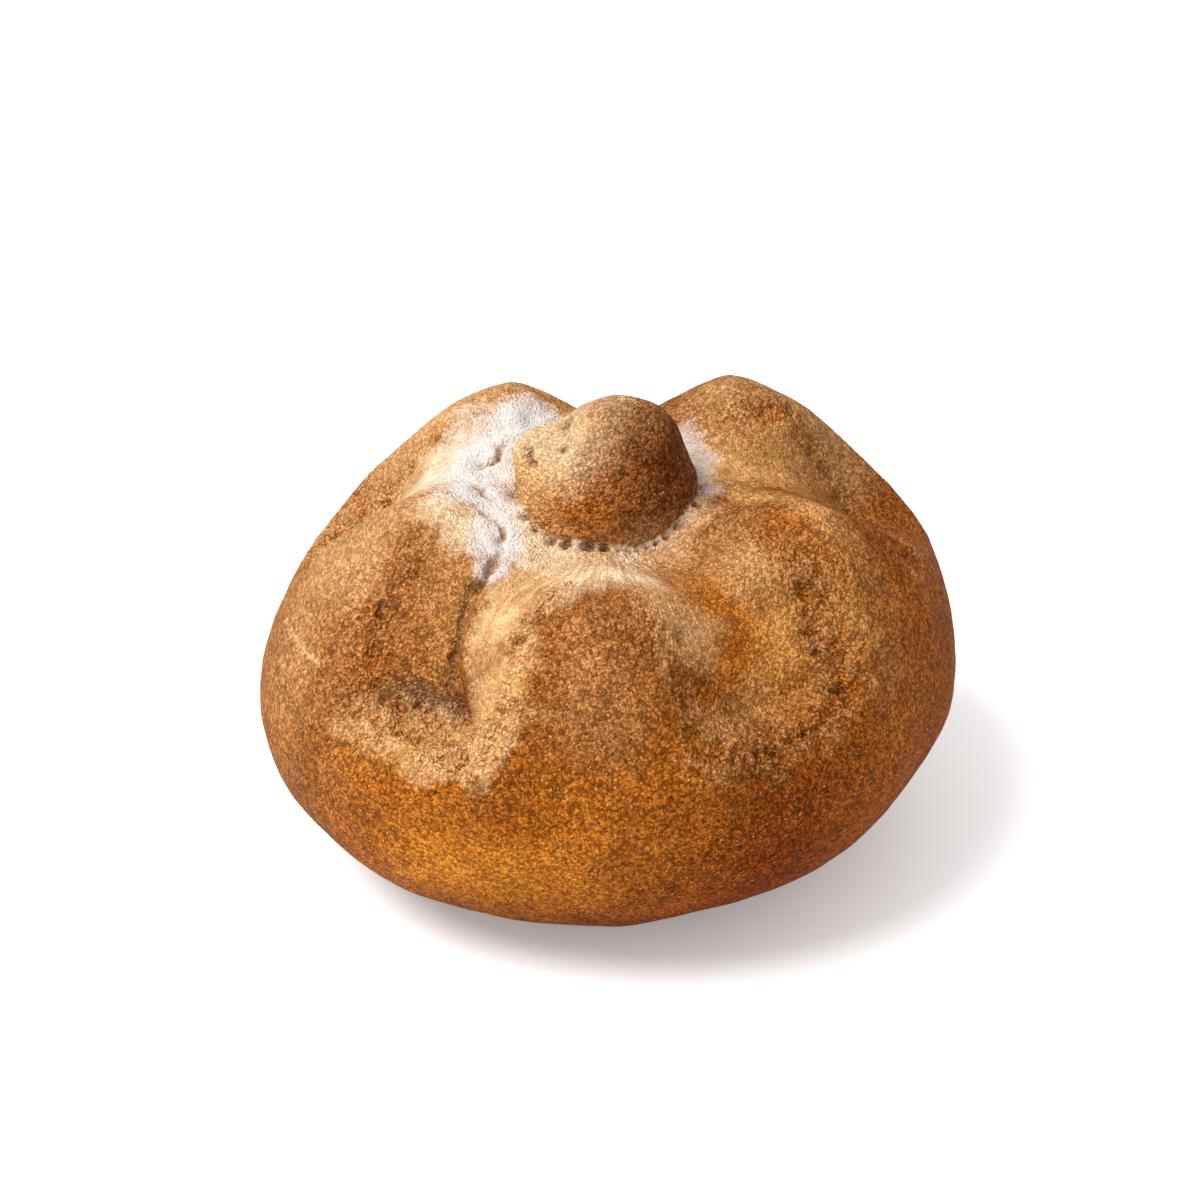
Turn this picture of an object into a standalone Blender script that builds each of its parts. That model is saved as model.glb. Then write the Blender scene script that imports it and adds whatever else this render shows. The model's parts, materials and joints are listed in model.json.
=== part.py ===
"""A round bread roll, baked in one piece: a dome with five finger dents round a knob of dough.

Metres, +Z up. The origin is the middle of the flat spot it rests on, and -Y is its front.
"""

import math

import bmesh
import bpy
from mathutils import Vector

# The dome is an ellipsoid, fuller above its widest level than below, cut flat where it rests.
HALF_WIDTH = 0.0522
HALF_DEPTH = 0.0505
WIDEST_LEVEL = 0.0282
CROWN_RISE = 0.0392
BOWL_DROP = 0.0346

# What pressed or lifted the dough: each stroke follows a route of places given as
# (azimuth, latitude) in degrees; azimuth -90 is the front. Its lift, away from the dome, is the one
# at the end of the route; "start" is the share of it that the stroke has at its beginning. It fades
# over its reach: "edge" is lower for a crisper border, and a "sharp" stroke is a narrow crease.
STROKES = [
    {"name": "crater", "route": [(-90, 89), (90, 89)],
     "reach": 0.033, "lift": -0.0125, "start": 1.0},
    {"name": "neck", "route": [(-90, 89), (90, 89)],
     "reach": 0.019, "lift": -0.0036, "start": 1.0},
    {"name": "front left dent", "route": [(-143, 62), (-139, 46), (-133, 28)],
     "reach": 0.0155, "lift": -0.0046, "start": 0.4, "edge": 1.25},
    {"name": "front left floor", "route": [(-142, 57), (-139, 46), (-136, 36), (-130, 26)],
     "reach": 0.0088, "lift": -0.0029, "start": 0.35, "edge": 0.6},
    {"name": "front left crease", "route": [(-131, 58), (-129, 46), (-126, 34), (-119, 22)],
     "reach": 0.009, "lift": -0.0022, "start": 0.2, "sharp": True},
    {"name": "front left wall", "route": [(-116, 60), (-117, 46), (-116, 30)],
     "reach": 0.01, "lift": -0.002, "start": 1.1},
    {"name": "right of the knob", "route": [(25, 71), (-35, 72)],
     "reach": 0.009, "lift": 0.0015, "start": 1.0},
    {"name": "front saddle", "route": [(-112, 64), (-90, 63), (-68, 65)],
     "reach": 0.016, "lift": -0.0036, "start": 1.0},
    {"name": "step under the knob", "route": [(-150, 77), (-110, 77), (-60, 77), (-20, 78)],
     "reach": 0.008, "lift": 0.0024, "start": 0.8},
    {"name": "front left pocket", "route": [(-136, 20), (-120, 21)],
     "reach": 0.0065, "lift": -0.0036, "start": 0.5, "edge": 1.3},
    {"name": "front left lip", "route": [(-143, 12), (-128, 8), (-113, 12)],
     "reach": 0.008, "lift": 0.0013, "start": 1.0},
    {"name": "front right dent", "route": [(-46, 62), (-52, 46), (-58, 32)],
     "reach": 0.017, "lift": -0.006, "start": 0.5, "edge": 1.3},
    {"name": "front right fold", "route": [(-62, 27), (-54, 26), (-48, 28)],
     "reach": 0.004, "lift": -0.0009, "start": 1.0, "sharp": True},
    {"name": "front right lip", "route": [(-72, 17), (-56, 15), (-42, 22)],
     "reach": 0.008, "lift": 0.0009, "start": 1.0},
    {"name": "right dent", "route": [(14, 64), (14, 52), (17, 38)],
     "reach": 0.015, "lift": -0.0075, "start": 0.45, "edge": 1.4},
    {"name": "back dent", "route": [(86, 64), (87, 50), (89, 36)],
     "reach": 0.0165, "lift": -0.0075, "start": 0.6, "edge": 1.4},
    {"name": "left dent", "route": [(166, 64), (163, 50), (160, 36)],
     "reach": 0.014, "lift": -0.007, "start": 0.45, "edge": 1.4},
    {"name": "back right lobe", "route": [(47, 53), (38, 40), (31, 26)],
     "reach": 0.02, "lift": 0.0019, "start": 1.9},
    {"name": "back left lobe", "route": [(118, 54), (126, 48)],
     "reach": 0.014, "lift": 0.0012, "start": 1.0},
    {"name": "left shoulder", "route": [(170, 30), (-170, 34)],
     "reach": 0.03, "lift": -0.0022, "start": 1.0},
    {"name": "back left flank", "route": [(140, 36), (150, 24)],
     "reach": 0.016, "lift": -0.0009, "start": 1.0},
    {"name": "right side", "route": [(0, 2), (10, 22)],
     "reach": 0.024, "lift": 0.0014, "start": 0.5},
    {"name": "left foot", "route": [(-138, -16), (-168, -14)],
     "reach": 0.03, "lift": 0.002, "start": 1.0},
    {"name": "left side", "route": [(-179, 2), (-172, -4)],
     "reach": 0.014, "lift": -0.0006, "start": 1.0},
    {"name": "right foot", "route": [(-64, -40), (-46, -32), (-28, -20)],
     "reach": 0.02, "lift": -0.0009, "start": 1.0},
    {"name": "front lobe", "route": [(-92, 52), (-91, 34)],
     "reach": 0.015, "lift": 0.0016, "start": 1.0},
]
USUAL_EDGE = 2.0
CREASE_EDGE = 1.5

# The knob is an egg of dough, longer below than above, with lumps and dips towards some directions;
# their reach is in radians.
KNOB_CENTRE = Vector((-0.0003, 0.0005, 0.0592))
KNOB_RADII = Vector((0.0132, 0.0123, 0.0098))
KNOB_LOW_RADII = Vector((0.0132, 0.0123, 0.015))
KNOB_LUMPS = [
    {"name": "top", "towards": (0.3, 0.0, 1.0), "lift": 0.0036, "reach": 1.0},
    {"name": "left shoulder", "towards": (-0.86, 0.0, 0.6), "lift": 0.0021, "reach": 0.6},
    {"name": "lower left", "towards": (-0.75, -0.6, -0.45), "lift": 0.0015, "reach": 0.6},
    {"name": "dip on top", "towards": (-0.45, -0.1, 0.9), "lift": -0.0009, "reach": 0.4},
    {"name": "right cheek", "towards": (1.0, -0.3, 0.0), "lift": 0.0006, "reach": 0.6},
    {"name": "notch", "towards": (0.82, -0.1, 0.6), "lift": -0.0015, "reach": 0.36},
    {"name": "front cheek", "towards": (-0.25, -1.0, 0.2), "lift": 0.0005, "reach": 0.6},
    {"name": "notch behind", "towards": (0.1, 1.0, 0.5), "lift": -0.0008, "reach": 0.6},
]

BODY_CUTS = 28  # rows of cuts across each side of the cube that the dome is blown up from
KNOB_SUBDIVISIONS = 4
CRUST_COLOUR = (0.48, 0.21, 0.06, 1.0)
CRUST_ROUGHNESS = 0.75


def clear_scene():
    for obj in list(bpy.data.objects):
        bpy.data.objects.remove(obj, do_unlink=True)


def dome_point(azimuth, latitude):
    """A point of the plain dome. The angles are in degrees."""
    turn, tilt = math.radians(azimuth), math.radians(latitude)
    rise = CROWN_RISE if latitude > 0 else BOWL_DROP
    return Vector((
        HALF_WIDTH * math.cos(tilt) * math.cos(turn),
        HALF_DEPTH * math.cos(tilt) * math.sin(turn),
        WIDEST_LEVEL + rise * math.sin(tilt),
    ))


def dome_normal(point):
    rise = CROWN_RISE if point.z > WIDEST_LEVEL else BOWL_DROP
    return Vector((
        point.x / HALF_WIDTH**2,
        point.y / HALF_DEPTH**2,
        (point.z - WIDEST_LEVEL) / rise**2,
    )).normalized()


def profile(stroke, distance):
    """1 on the stroke's route, falling to 0 at its reach."""
    share = min(distance / stroke["reach"], 1.0)
    if stroke.get("sharp"):
        return (1.0 - share) ** CREASE_EDGE
    return (1.0 - share**2) ** stroke.get("edge", USUAL_EDGE)


def along_route(point, stations):
    """(distance to the route, share of the way along it) at the route's nearest place."""
    nearest = (math.inf, 0.0)
    last = len(stations) - 1
    for index in range(last):
        start, step = stations[index], stations[index + 1] - stations[index]
        share = max(0.0, min(1.0, (point - start).dot(step) / step.length_squared))
        distance = (point - start - step * share).length
        nearest = min(nearest, (distance, (index + share) / last))
    return nearest


def shaped(point, routes):
    """Where the dough stands over this point of the plain dome. Routes holds the strokes' stations."""
    lift = 0.0
    for stroke, stations in zip(STROKES, routes):
        distance, share = along_route(point, stations)
        strength = stroke["start"] + (1.0 - stroke["start"]) * share
        lift += stroke["lift"] * strength * profile(stroke, distance)
    return point + dome_normal(point) * lift


def object_from(name, shape, collection):
    mesh = bpy.data.meshes.new(name)
    shape.to_mesh(mesh)
    shape.free()
    mesh.shade_smooth()
    obj = bpy.data.objects.new(name, mesh)
    collection.objects.link(obj)
    return obj


def blow_up_cube(cuts):
    """A cube cut into a grid and blown up to a unit sphere with cells of nearly one size."""
    shape = bmesh.new()
    bmesh.ops.create_cube(shape, size=2.0)
    bmesh.ops.subdivide_edges(shape, edges=shape.edges[:], cuts=cuts, use_grid_fill=True)
    for vertex in shape.verts:
        even = (math.tan(part * math.pi / 4) for part in vertex.co)
        vertex.co = Vector(even).normalized()
    return shape


def cut_flat(shape):
    """Cuts the shape off at the resting level and closes it with one flat face."""
    everything = shape.verts[:] + shape.edges[:] + shape.faces[:]
    bmesh.ops.bisect_plane(
        shape, geom=everything, dist=1e-5, plane_co=(0, 0, 0), plane_no=(0, 0, 1), clear_inner=True
    )
    rim = [edge for edge in shape.edges if edge.is_boundary]
    for vertex in {vertex for edge in rim for vertex in edge.verts}:
        vertex.co.z = 0.0
    bmesh.ops.holes_fill(shape, edges=rim)


def build_body(collection):
    routes = [[dome_point(*place) for place in stroke["route"]] for stroke in STROKES]
    shape = blow_up_cube(BODY_CUTS)
    for vertex in shape.verts:
        latitude = math.degrees(math.asin(max(-1.0, min(1.0, vertex.co.z))))
        azimuth = math.degrees(math.atan2(vertex.co.y, vertex.co.x))
        vertex.co = shaped(dome_point(azimuth, latitude), routes)
    cut_flat(shape)
    bmesh.ops.recalc_face_normals(shape, faces=shape.faces[:])
    return object_from("bread_roll", shape, collection)


def build_knob(collection):
    shape = bmesh.new()
    bmesh.ops.create_icosphere(shape, subdivisions=KNOB_SUBDIVISIONS, radius=1.0)
    for vertex in shape.verts:
        way = vertex.co.normalized()
        radii = KNOB_RADII if way.z > 0 else KNOB_LOW_RADII
        swell = 0.0
        for lump in KNOB_LUMPS:
            share = min(way.angle(Vector(lump["towards"])) / lump["reach"], 1.0)
            swell += lump["lift"] * (1.0 - share**2) ** USUAL_EDGE
        vertex.co = KNOB_CENTRE + way * radii + way * swell
    return object_from("knob", shape, collection)


def join_knob(body, knob):
    """The knob grew out of the same dough, so it becomes part of the body's mesh."""
    union = body.modifiers.new("Join knob", "BOOLEAN")
    union.operation = "UNION"
    union.object = knob
    graph = bpy.context.evaluated_depsgraph_get()
    joined = bpy.data.meshes.new_from_object(body.evaluated_get(graph))
    body.modifiers.clear()
    body.data = joined
    bpy.data.objects.remove(knob, do_unlink=True)


def centre_over_origin(body):
    """Moves the mesh so that the origin is under the middle of its box."""
    points = [vertex.co for vertex in body.data.vertices]
    for axis in (0, 1):
        values = [point[axis] for point in points]
        middle = (min(values) + max(values)) / 2
        for point in points:
            point[axis] -= middle


def crust_material():
    material = bpy.data.materials.new("crust")
    material.use_nodes = True
    shader = material.node_tree.nodes["Principled BSDF"]
    shader.inputs["Base Color"].default_value = CRUST_COLOUR
    shader.inputs["Roughness"].default_value = CRUST_ROUGHNESS
    shader.inputs["Metallic"].default_value = 0.0
    return material


def build_roll():
    clear_scene()
    collection = bpy.data.collections.new("bread roll")
    bpy.context.scene.collection.children.link(collection)
    body = build_body(collection)
    knob = build_knob(collection)
    join_knob(body, knob)
    centre_over_origin(body)
    body.data.materials.clear()
    body.data.materials.append(crust_material())


build_roll()
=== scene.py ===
import json
import math

import bmesh
import bpy
import numpy as np
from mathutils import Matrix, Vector, kdtree, noise

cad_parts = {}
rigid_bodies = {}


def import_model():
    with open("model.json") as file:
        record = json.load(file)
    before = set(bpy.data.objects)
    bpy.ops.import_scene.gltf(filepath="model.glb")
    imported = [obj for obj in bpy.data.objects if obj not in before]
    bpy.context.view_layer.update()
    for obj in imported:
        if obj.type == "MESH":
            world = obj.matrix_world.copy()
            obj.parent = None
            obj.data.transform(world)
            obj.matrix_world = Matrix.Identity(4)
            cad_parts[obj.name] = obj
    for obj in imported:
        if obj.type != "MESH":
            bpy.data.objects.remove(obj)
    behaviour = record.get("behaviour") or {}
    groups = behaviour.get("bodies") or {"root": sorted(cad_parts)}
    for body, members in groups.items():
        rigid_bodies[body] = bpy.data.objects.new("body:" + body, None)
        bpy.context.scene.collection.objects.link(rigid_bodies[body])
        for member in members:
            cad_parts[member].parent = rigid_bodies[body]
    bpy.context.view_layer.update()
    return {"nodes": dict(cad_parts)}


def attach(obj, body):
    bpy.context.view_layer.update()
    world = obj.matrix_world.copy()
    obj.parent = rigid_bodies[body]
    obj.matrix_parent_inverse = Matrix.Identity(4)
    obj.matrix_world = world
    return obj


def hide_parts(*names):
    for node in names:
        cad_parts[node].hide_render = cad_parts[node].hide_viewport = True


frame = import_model()
print("frame:", ", ".join(frame["nodes"]))
mm = 0.001
noise.seed_set(11)    # or the noise would differ at each run

# Places on the dough are (azimuth, latitude) in degrees. Azimuth -90 is the front, latitude 90 the top.
# All sizes in these lists are in millimetres.
dome = {"halfWidth": 52.2, "halfDepth": 50.5, "widestLevel": 28.2, "crownRise": 39.2, "bowlDrop": 34.6}


def domePoints(azimuth, latitude):
    turn, tilt = np.radians(azimuth), np.radians(latitude)
    rise = np.where(tilt > 0, dome["crownRise"], dome["bowlDrop"])
    return mm * np.stack([
        dome["halfWidth"] * np.cos(tilt) * np.cos(turn),
        dome["halfDepth"] * np.cos(tilt) * np.sin(turn),
        dome["widestLevel"] + rise * np.sin(tilt),
    ], axis=-1)


def domePlace(azimuth, latitude):
    return domePoints(np.float64(azimuth), np.float64(latitude))


def domeNormals(points):
    rise = np.where(points[:, 2] > mm * dome["widestLevel"], dome["crownRise"], dome["bowlDrop"])
    slope = np.stack([
        points[:, 0] / dome["halfWidth"]**2,
        points[:, 1] / dome["halfDepth"]**2,
        (points[:, 2] - mm * dome["widestLevel"]) / rise**2,
    ], axis=-1)
    return slope / np.linalg.norm(slope, axis=1)[:, None]


def ballToDome(ball):
    azimuth = np.degrees(np.arctan2(ball[:, 1], ball[:, 0]))
    return domePoints(azimuth, np.degrees(np.arcsin(np.clip(ball[:, 2], -1, 1))))


# distance to the route, and how far along it the nearest place lies, from 0 to 1
def alongRoute(points, route):
    stations = [domePlace(*place) for place in route]
    nearest = np.full(len(points), np.inf)
    share = np.zeros(len(points))
    last = len(stations) - 1
    for index in range(last):
        start = stations[index]
        step = stations[index + 1] - start
        part = np.clip((points - start) @ step / (step @ step), 0, 1)
        distance = np.linalg.norm(points - start - part[:, None] * step, axis=1)
        closer = distance < nearest
        nearest[closer] = distance[closer]
        share[closer] = (index + part[closer]) / last
    return nearest, share


def nearAny(places, bands, margin):
    near = np.zeros(len(places), bool)
    for band in bands:
        near |= alongRoute(places, band["route"])[0] < (band["reach"] + margin) * mm
    return near


def angleTo(ball, direction):
    towards = np.array(direction) / np.linalg.norm(direction)
    return np.arccos(np.clip(ball @ towards, -1, 1))


# 1 at distance 0 and 0 past the reach: a bell with a rounded top, or a wedge with a sharp one
def bell(distance, reach, edge=2.0):
    share = np.minimum(distance / reach, 1.0)
    return (1 - share**2)**edge


def wedge(distance, reach, edge=1.5):
    share = np.minimum(distance / reach, 1.0)
    return (1 - share)**edge


# smooth unevenness of about -1 to 1; size is the width of its waves in millimetres
def ripple(points, size, octaves=3, shift=0.0):
    return np.array([noise.fractal(Vector(p), 1.0, 2.0, octaves) for p in points / (size * mm) + shift])


# distance to the nearest of scattered points, in shares of size
def cells(points, size, shift=0.0):
    return np.array([noise.voronoi(Vector(p))[0][0] for p in points / (size * mm) + shift])


# points moved about, so that borders which follow them get ragged
def wobbled(points, size, amount, shift=0.0):
    moved = [noise.noise_vector(Vector(p)) for p in points / (size * mm) + shift]
    return points + np.array(moved) * amount * mm


def readPoints(mesh, name="co"):
    values = np.empty(len(mesh.vertices) * 3, np.float32)
    mesh.vertices.foreach_get(name, values)
    return values.reshape(-1, 3).astype(float)


def writePoints(mesh, points):
    mesh.vertices.foreach_set("co", points.astype(np.float32).ravel())
    mesh.update()


def addNumbers(mesh, name, values):
    layer = mesh.attributes.new(name, "FLOAT", "POINT")
    layer.data.foreach_set("value", values.astype(np.float32))


def meshFrom(shape, name):
    result = bpy.data.meshes.new(name)
    shape.to_mesh(result)
    shape.free()
    return result


def linked(name, data):
    made = bpy.data.objects.new(name, data)
    bpy.context.scene.collection.objects.link(made)
    return made


def treeOf(points):
    tree = kdtree.KDTree(len(points))
    for index, point in enumerate(points):
        tree.insert(point, index)
    tree.balance()
    return tree


# Each stroke presses or lifts the dough along its route. "start" is the share of the lift at the first place.
strokes = [
    {"name": "crater", "route": [(-90, 89), (90, 89)], "reach": 33.0, "lift": -12.5, "start": 1},
    {"name": "neck", "route": [(-90, 89), (90, 89)], "reach": 19.0, "lift": -3.6, "start": 1},
    {"name": "front left dent", "route": [(-143, 62), (-139, 46), (-133, 28)], "reach": 15.5, "lift": -4.6,
     "start": 0.4, "edge": 1.25},
    {"name": "front left floor", "route": [(-142, 57), (-139, 46), (-136, 36), (-130, 26)], "reach": 8.8,
     "lift": -2.9, "start": 0.35, "edge": 0.6},
    {"name": "front left crease", "route": [(-131, 58), (-129, 46), (-126, 34), (-119, 22)], "reach": 9.0,
     "lift": -2.2, "start": 0.2, "sharp": 1},
    {"name": "front left fold", "route": [(-129.5, 53), (-129, 46), (-127.5, 37), (-126.5, 30), (-120, 22)],
     "reach": 2.0, "lift": -1.2, "start": 0.9, "sharp": 1},
    {"name": "front left wall", "route": [(-116, 60), (-117, 46), (-116, 30)], "reach": 10.0, "lift": -2.0,
     "start": 1.1},
    {"name": "right of the knob", "route": [(25, 71), (-35, 72)], "reach": 9.0, "lift": 1.5, "start": 1},
    {"name": "front saddle", "route": [(-112, 64), (-90, 63), (-68, 65)], "reach": 16.0, "lift": -3.6,
     "start": 1},
    {"name": "step under the knob", "route": [(-150, 77), (-110, 77), (-60, 77), (-20, 78)], "reach": 8.0,
     "lift": 2.4, "start": 0.8},
    {"name": "front left pocket", "route": [(-136, 20), (-120, 21)], "reach": 6.5, "lift": -3.6,
     "start": 0.5, "edge": 1.3},
    {"name": "front left lip", "route": [(-143, 12), (-128, 8), (-113, 12)], "reach": 8.0, "lift": 1.3,
     "start": 1},
    {"name": "front right dent", "route": [(-46, 62), (-52, 46), (-58, 32)], "reach": 17.0, "lift": -6.0,
     "start": 0.5, "edge": 1.3},
    {"name": "front right fold", "route": [(-62, 27), (-54, 26), (-48, 28)], "reach": 4.0, "lift": -0.9,
     "start": 1, "sharp": 1},
    {"name": "front right lip", "route": [(-72, 17), (-56, 15), (-42, 22)], "reach": 8.0, "lift": 0.9,
     "start": 1},
    {"name": "right dent", "route": [(14, 64), (14, 52), (17, 38)], "reach": 15.0, "lift": -7.5,
     "start": 0.45, "edge": 1.4},
    {"name": "back dent", "route": [(86, 64), (87, 50), (89, 36)], "reach": 16.5, "lift": -7.5, "start": 0.6,
     "edge": 1.4},
    {"name": "left dent", "route": [(166, 64), (163, 50), (160, 36)], "reach": 14.0, "lift": -7.0,
     "start": 0.45, "edge": 1.4},
    {"name": "back right lobe", "route": [(47, 53), (38, 40), (31, 26)], "reach": 20.0, "lift": 1.9,
     "start": 1.9},
    {"name": "back left lobe", "route": [(118, 54), (126, 48)], "reach": 14.0, "lift": 1.2, "start": 1},
    {"name": "left shoulder", "route": [(170, 30), (-170, 34)], "reach": 30.0, "lift": -2.2, "start": 1},
    {"name": "back left flank", "route": [(140, 36), (150, 24)], "reach": 16.0, "lift": -0.9, "start": 1},
    {"name": "right side", "route": [(0, 2), (10, 22)], "reach": 24.0, "lift": 1.4, "start": 0.5},
    {"name": "left foot", "route": [(-138, -16), (-168, -14)], "reach": 30.0, "lift": 2.0, "start": 1},
    {"name": "left side", "route": [(-179, 2), (-172, -4)], "reach": 14.0, "lift": -0.6, "start": 1},
    {"name": "right foot", "route": [(-64, -40), (-46, -32), (-28, -20)], "reach": 20.0, "lift": -0.9,
     "start": 1},
    {"name": "front lobe", "route": [(-92, 52), (-91, 34)], "reach": 15.0, "lift": 1.6, "start": 1},
]


def shapedPoints(points):
    lift = np.zeros(len(points))
    for stroke in strokes:
        distance, share = alongRoute(points, stroke["route"])
        reach = stroke["reach"] * mm
        rounded = bell(distance, reach, stroke.get("edge", 2.0))
        profile = wedge(distance, reach) if stroke.get("sharp") else rounded
        lift += stroke["lift"] * mm * (stroke["start"] + (1 - stroke["start"]) * share) * profile
    return points + domeNormals(points) * lift[:, None]


# Colours of the crust, as linear red, green and blue.
# low, grey and pore serve as painted shade, and glow where the foot dab lays it as painted bounce light
palette = {
    "crust": (0.245, 0.075, 0.010), "rust": (0.325, 0.097, 0.010), "low": (0.165, 0.030, 0.002),
    "brown": (0.335, 0.135, 0.042), "honey": (0.56, 0.250, 0.062), "umber": (0.28, 0.078, 0.009),
    "dark": (0.11, 0.026, 0.003), "tan": (0.37, 0.160, 0.045), "fawn": (0.50, 0.265, 0.108),
    "gold": (0.64, 0.355, 0.130), "glow": (0.50, 0.175, 0.018), "pale": (0.65, 0.390, 0.185),
    "cream": (0.76, 0.560, 0.360), "orange": (0.38, 0.120, 0.015), "grey": (0.25, 0.135, 0.075),
    "dust": (0.64, 0.440, 0.275), "crumb": (0.70, 0.420, 0.190), "pore": (0.20, 0.115, 0.060),
}


def mixed(colours, name, weight):
    return colours + (np.array(palette[name]) - colours) * np.clip(weight, 0, 1)[:, None]


# Broken crust round the dents: bands of crumbs and pits. "pale" is the share of bare crumb in it.
crags = [
    {"name": "front left rim", "route": [(-137, 19.5), (-130, 17), (-120, 16), (-112, 20), (-109, 27)],
     "reach": 4.4, "depth": 1.0, "pale": 1.0},
    {"name": "front left ledge", "route": [(-153, 47), (-148, 36), (-144, 25)], "reach": 4.6, "depth": 0.45,
     "pale": 0.0},
    {"name": "front left edge", "route": [(-103, 56), (-107, 46), (-110, 38), (-109, 28), (-102, 28)],
     "reach": 2.8, "depth": 0.65, "pale": 0.9},
    {"name": "front right rim", "route": [(-34, 48), (-39, 38), (-43, 26), (-52, 18), (-62, 16), (-74, 19)],
     "reach": 4.6, "depth": 0.75, "pale": 0.28},
    {"name": "front right edge", "route": [(-80, 46), (-76, 38), (-76, 26)], "reach": 2.6, "depth": 0.4,
     "pale": 0.3},
    {"name": "right rim", "route": [(37, 59), (32, 49), (25, 40), (8, 28), (-5, 32)], "reach": 4.2,
     "depth": 0.45, "pale": 0.3},
    {"name": "back rim", "route": [(66, 38), (76, 26), (90, 21), (104, 26), (114, 38)], "reach": 4.2,
     "depth": 0.8, "pale": 0.7},
    {"name": "left rim", "route": [(145, 53), (150, 40), (152, 26), (164, 20), (176, 26)], "reach": 4.0,
     "depth": 0.45, "pale": 0.4},
]
# Single pits: place, radius and depth.
pits = [
    (-109.0, 46.5, 1.1, 1.1), (-109.6, 42.6, 1.2, 1.3), (-110.5, 39.6, 1.0, 1.1), (-106.5, 50.0, 0.8, 0.7),
    (-42.5, 35.0, 1.2, 1.2), (-43.2, 32.6, 1.1, 1.1), (-44.5, 24.0, 1.2, 1.4), (-54.0, 18.0, 1.0, 0.9),
    (-60.0, 16.5, 0.8, 0.8), (-40.0, 41.0, 0.9, 0.8), (-74.0, 43.5, 0.9, 0.9), (-127.0, 9.5, 1.0, 0.9),
    (-135.0, 13.0, 1.1, 1.0), (-118.0, 9.0, 1.1, 0.9), (-149.0, 38.0, 1.2, 1.0), (28.0, 46.0, 1.1, 0.9),
    (84.0, 23.0, 1.2, 1.1), (100.0, 27.0, 1.0, 0.9), (152.0, 33.0, 1.2, 1.0), (168.0, 22.0, 0.9, 0.8),
]
# Open cracks: narrow and short.
cracks = [
    {"name": "front left edge", "route": [(-104, 55), (-107, 47), (-109, 40)], "reach": 0.6, "depth": 0.9},
    {"name": "front left crease", "route": [(-129.5, 53), (-129, 46), (-127.5, 37), (-127, 30), (-123, 23)],
     "reach": 0.6, "depth": 0.5},
    {"name": "flour, upper", "route": [(140, 65), (150, 66), (160, 63)], "reach": 0.9, "depth": 1.2},
    {"name": "flour, left", "route": [(168, 63), (177, 66), (-175, 68)], "reach": 0.9, "depth": 1.1},
    {"name": "flour, lower", "route": [(-164, 65), (-146, 67), (-139, 64)], "reach": 1.0, "depth": 1.4},
    {"name": "flour, tip", "route": [(-135, 62), (-131, 56), (-130, 50)], "reach": 0.9, "depth": 1.2},
    {"name": "left scratch", "route": [(-171, 18), (-160, 19.5), (-151.5, 21)], "reach": 0.55, "depth": 0.25,
     "shallow": 1},
]
# Where the knob meets the crater: a finer mesh, and pores at these azimuths with radius and depth.
ring = {
    "route": [(-180, 75), (-120, 75.5), (-60, 75.5), (0, 75), (60, 75), (120, 75), (180, 75)], "reach": 2.6,
    "frontRoute": [(-142, 75.5), (-120, 76), (-90, 76), (-56, 76)], "frontReach": 1.8,
    "softReach": 1.0, "softTurns": 5, "poresOut": 0.8, "poreShade": 0.9,
    "seamGap": 1e-6, "seamAbove": 0.03,    # a seam point is new and lies above this level, in metres
    "pores": [(-151, 1.1, 1.3), (-141, 0.8, 0.9), (-128.5, 0.9, 1.5), (-118.5, 1.05, 1.7),
              (-104, 1.2, 2.2), (-93, 1.0, 2.2), (-83, 0.5, 0.7), (-76, 0.5, 0.9), (-69, 0.45, 0.7),
              (-62, 0.5, 0.9), (-55, 0.6, 1.0), (-47, 0.7, 1.1), (-38, 0.8, 1.0), (-20, 0.9, 0.9),
              (10, 1.0, 1.0), (55, 1.0, 1.2), (95, 1.2, 1.4), (130, 1.1, 1.2), (160, 0.8, 0.9),
              (178, 1.0, 1.0)],
}
# Skin that the swelling dough stretched into fine radial streaks.
stretched = [
    {"name": "front valley", "route": [(-118, 58), (-92, 59), (-74, 62)], "reach": 10.0, "amount": 1.0},
    {"name": "front left wall", "route": [(-113, 57), (-113, 40)], "reach": 7.0, "amount": 0.9},
    {"name": "right dent", "route": [(20, 68), (18, 50)], "reach": 10.0, "amount": 0.5},
    {"name": "left dent", "route": [(150, 62), (165, 55)], "reach": 9.0, "amount": 0.5},
    {"name": "front right dent", "route": [(-56, 62), (-58, 46)], "reach": 10.0, "amount": 0.4},
    {"name": "back dent", "route": [(88, 66), (88, 46)], "reach": 12.0, "amount": 0.5},
]
# Flour that stuck in the crater.
flour = [
    {"name": "left of the knob", "route": [(118, 65), (138, 65), (158, 63), (-176, 66)], "reach": 7.0,
     "amount": 1.0},
    {"name": "left, thin", "route": [(138, 60), (160, 58), (-170, 63)], "reach": 7.0, "amount": 0.42},
    {"name": "towards the front left", "route": [(-176, 66), (-152, 67), (-137, 62)], "reach": 5.5,
     "amount": 1.0},
    {"name": "front left tip", "route": [(-137, 62), (-129, 56)], "reach": 3.4, "amount": 0.85},
    {"name": "right of the knob", "route": [(56, 69), (30, 71), (2, 73)], "reach": 5.0, "amount": 0.62},
    {"name": "front ring", "route": [(0, 73), (-28, 73), (-80, 72)], "reach": 3.4, "amount": 0.3},
    {"name": "behind the knob", "route": [(140, 74), (95, 72), (60, 72)], "reach": 6.5, "amount": 0.7},
]
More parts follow.
